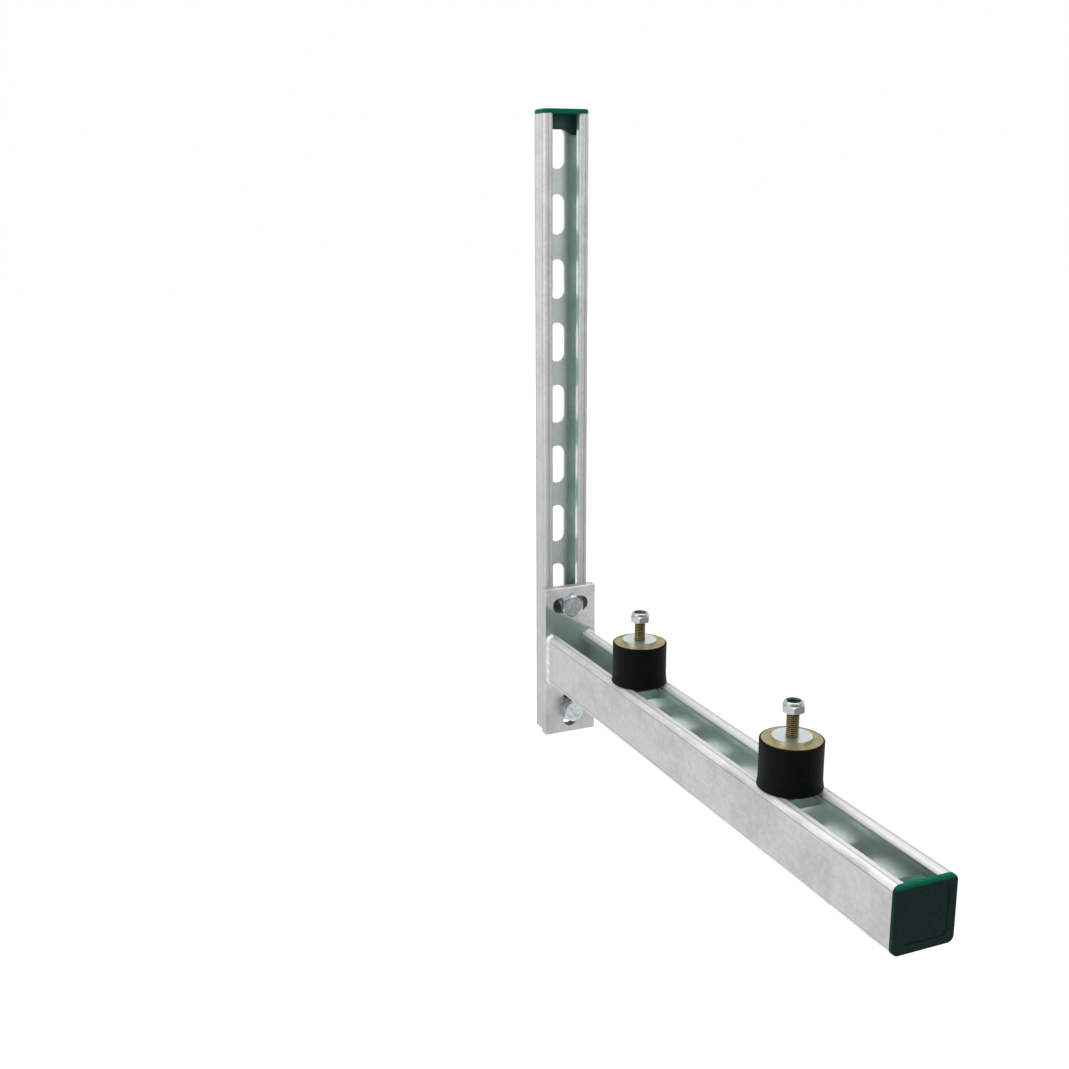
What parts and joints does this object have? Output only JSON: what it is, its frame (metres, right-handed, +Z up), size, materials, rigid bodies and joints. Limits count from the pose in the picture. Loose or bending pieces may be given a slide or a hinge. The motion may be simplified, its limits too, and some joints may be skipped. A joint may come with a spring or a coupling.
{
  "type": "outdoor unit wall bracket",
  "caption": "Wall bracket for an outdoor unit: a slotted channel rail, a bolted cantilever channel arm with a welded plate, rubber vibration mounts and plastic end caps",
  "frame": {"origin": "centre of the rail's back face, which is the face that lies on the wall", "axes": "+Z up along the rail, +Y into the wall, -Y out along the arm, X across the rail"},
  "size_m": [0.045, 0.482, 0.5036],
  "materials": {
    "galvanised_steel": "hot-dip galvanised, satin",
    "weld_zinc": "weld bead under bright zinc",
    "zinc_steel": "zinc plated",
    "passivated_steel": "yellow passivated zinc",
    "rubber": "matt, moulded",
    "green_plastic": "moulded, satin",
    "nylon": "smooth"
  },
  "bodies": {
    "root": {"wall_rail": "galvanised_steel", "rail_top_cap": "green_plastic", "mounting_plate": "galvanised_steel", "arm_channel": "galvanised_steel", "weld_left": "weld_zinc", "weld_right": "weld_zinc", "arm_end_cap": "green_plastic", "upper_bolt": "zinc_steel", "lower_bolt": "zinc_steel", "lower_washer": "zinc_steel", "upper_channel_nut": "zinc_steel", "lower_channel_nut": "zinc_steel", "rear_rubber": "rubber", "rear_top_disc": "passivated_steel", "rear_top_stud": "passivated_steel", "rear_bottom_disc": "passivated_steel", "rear_bottom_stud": "passivated_steel", "rear_washer": "zinc_steel", "rear_lock_nut": "zinc_steel", "rear_nylon_ring": "nylon", "rear_channel_nut": "passivated_steel", "front_rubber": "rubber", "front_top_disc": "passivated_steel", "front_top_stud": "passivated_steel", "front_bottom_disc": "passivated_steel", "front_bottom_stud": "passivated_steel", "front_washer": "zinc_steel", "front_lock_nut": "zinc_steel", "front_nylon_ring": "nylon", "front_channel_nut": "passivated_steel"}
  },
  "joints": []
}
